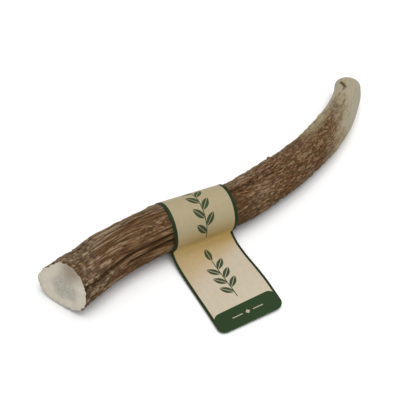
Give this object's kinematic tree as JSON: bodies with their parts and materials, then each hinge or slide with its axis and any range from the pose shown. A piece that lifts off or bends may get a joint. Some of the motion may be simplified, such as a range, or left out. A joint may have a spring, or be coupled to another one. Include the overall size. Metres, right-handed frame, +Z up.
{
  "type": "elk antler chew",
  "caption": "Curved length of elk antler, sawn flat at its thick end and worn blunt at its tip, with a strip of card looped round it as a tag; a dog's chew.",
  "frame": {"origin": "under the middle of the part's plan box, on the surface that it lies on", "axes": "+X along the antler from its sawn end to its tip, +Y away from the tag, +Z up"},
  "size_m": [0.193, 0.0784, 0.0235],
  "materials": {
    "antler": "matte",
    "card": "satin"
  },
  "bodies": {
    "root": {"antler": "antler", "label": "card"}
  },
  "joints": []
}
